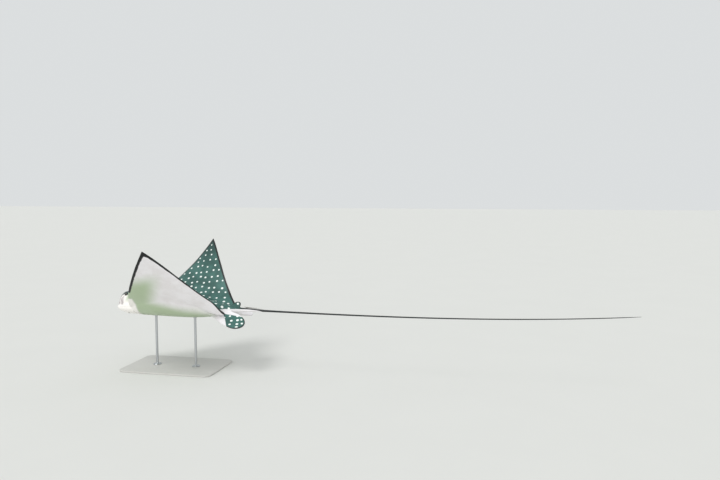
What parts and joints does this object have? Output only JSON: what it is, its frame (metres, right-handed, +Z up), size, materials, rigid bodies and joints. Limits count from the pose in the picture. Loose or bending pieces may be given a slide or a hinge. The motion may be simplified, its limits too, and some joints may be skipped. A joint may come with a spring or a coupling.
{
  "type": "spotted eagle ray, still life-size model on a display stand",
  "caption": "Still life-size model of a spotted eagle ray gliding with raised wings and a long whip tail, held over a flat base by slim upright rods.",
  "frame": {"origin": "centre of the underside of the stand's base, on the floor", "axes": "+Z up, -X along the ray's heading, +X along its tail, +Y to the ray's own right"},
  "size_m": [3.7364, 1.1133, 0.9282],
  "materials": {
    "skin": "smooth wet skin, dark slate with white spots above, white below",
    "eye": "wet, dark, with a clear glossy surface",
    "spine": "dull bone",
    "stand_rod": "satin",
    "stand_plate": "satin paint, pale grey"
  },
  "bodies": {
    "root": {"head": "skin", "trunk": "skin", "pectoral_left": "skin", "pectoral_right": "skin", "pelvic_left": "skin", "pelvic_right": "skin", "dorsal_fin": "skin", "tail_1": "skin", "tail_2": "skin", "tail_3": "skin", "tail_4": "skin", "tail_5": "skin", "eye_left": "eye", "eye_right": "eye", "sting_lower": "spine", "sting_upper": "spine", "stand_base": "stand_plate", "stand_rod_front": "stand_rod", "stand_rod_rear": "stand_rod"}
  },
  "joints": []
}
